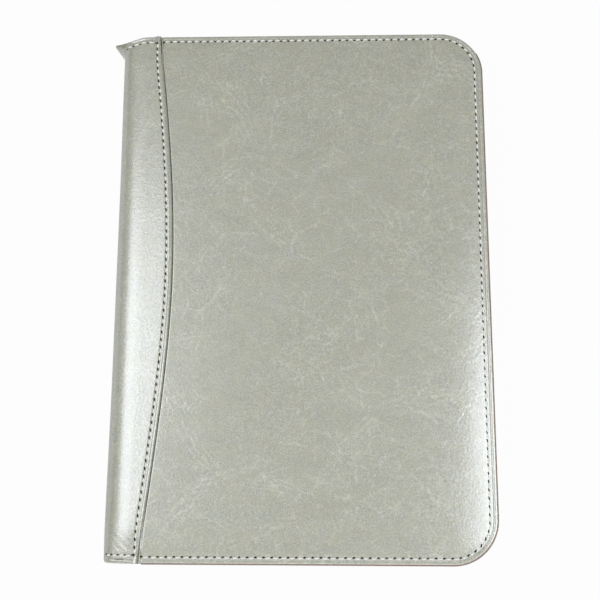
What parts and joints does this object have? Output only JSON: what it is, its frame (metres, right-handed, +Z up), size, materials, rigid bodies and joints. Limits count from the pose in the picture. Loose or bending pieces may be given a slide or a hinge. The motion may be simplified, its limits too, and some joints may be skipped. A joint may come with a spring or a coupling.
{
  "type": "leather binder notebook",
  "caption": "Closed leather ring binder with a bowed, stitched spine panel and rounded corners, opening flat to an A5 six-ring mechanism, punched pages and card pockets.",
  "frame": {"origin": "middle of the face that the closed binder rests on", "axes": "+X from the spine to the fore edge, +Y to the head of the page, +Z up through the closed binder"},
  "size_m": [0.171, 0.237, 0.0252],
  "materials": {
    "leather": "glossy waxed grain",
    "lining": "matt fine grain",
    "pocket": "matt fine grain",
    "board": "grey board",
    "nickel": "nickel plated",
    "spring_steel": "rolled",
    "paper": "uncoated"
  },
  "bodies": {
    "back_cover": {"back_leather": "leather", "back_board": "board", "back_lining": "lining", "ring_housing": "nickel", "housing_rivets": "nickel", "rivet_washers": "spring_steel", "lever_pins": "spring_steel", "page_block": "paper"},
    "spine": {"spine_leather": "leather", "spine_stiffener": "board", "spine_lining": "lining"},
    "front_cover": {"front_leather": "leather", "front_board": "board", "front_lining": "lining", "document_pocket": "pocket", "card_pocket_upper": "pocket", "card_pocket_middle": "pocket", "card_pocket_lower": "pocket"},
    "left_rings": {"left_blade": "spring_steel", "left_half_rings": "nickel"},
    "right_rings": {"right_blade": "spring_steel", "right_half_rings": "nickel"},
    "head_lever": {"head_lever": "nickel"},
    "tail_lever": {"tail_lever": "nickel"},
    "top_sheets": {"top_sheets": "paper"}
  },
  "joints": [
    {"name": "spine_fold", "type": "hinge", "parent": "back_cover", "child": "spine", "pos_m": [-0.08119, 0, 0.00182], "axis": [0, -1, 0], "range_deg": [0, 90], "deforming": ["spine_leather", "spine_lining"]},
    {"name": "front_fold", "type": "hinge", "parent": "spine", "child": "front_cover", "pos_m": [-0.08119, 0, 0.02341], "axis": [0, -1, 0], "range_deg": [0, 90]},
    {"name": "sheet_turn", "type": "hinge", "parent": "back_cover", "child": "top_sheets", "pos_m": [-0.06948, 0, 0.0114], "axis": [0, -1, 0], "range_deg": [0, 182.7]},
    {"name": "left_ring_swing", "type": "hinge", "parent": "back_cover", "child": "left_rings", "pos_m": [-0.07548, 0, 0.0056], "axis": [0, -1, 0], "range_deg": [0, 14]},
    {"name": "right_ring_swing", "type": "hinge", "parent": "back_cover", "child": "right_rings", "pos_m": [-0.06348, 0, 0.0056], "axis": [0, 1, 0], "range_deg": [0, 14]},
    {"name": "head_lever_press", "type": "hinge", "parent": "back_cover", "child": "head_lever", "pos_m": [-0.06948, 0.095, 0.0053], "axis": [-1, 0, 0], "range_deg": [0, 18]},
    {"name": "tail_lever_press", "type": "hinge", "parent": "back_cover", "child": "tail_lever", "pos_m": [-0.06948, -0.095, 0.0053], "axis": [1, 0, 0], "range_deg": [0, 18]}
  ],
  "couplings": [
    {"joint": "front_fold", "follows": "spine_fold", "ratio": 1},
    {"joint": "sheet_turn", "follows": "spine_fold", "ratio": 2.03},
    {"joint": "right_ring_swing", "follows": "left_ring_swing", "ratio": 1},
    {"joint": "head_lever_press", "follows": "left_ring_swing", "ratio": 1.2857},
    {"joint": "tail_lever_press", "follows": "left_ring_swing", "ratio": 1.2857}
  ]
}
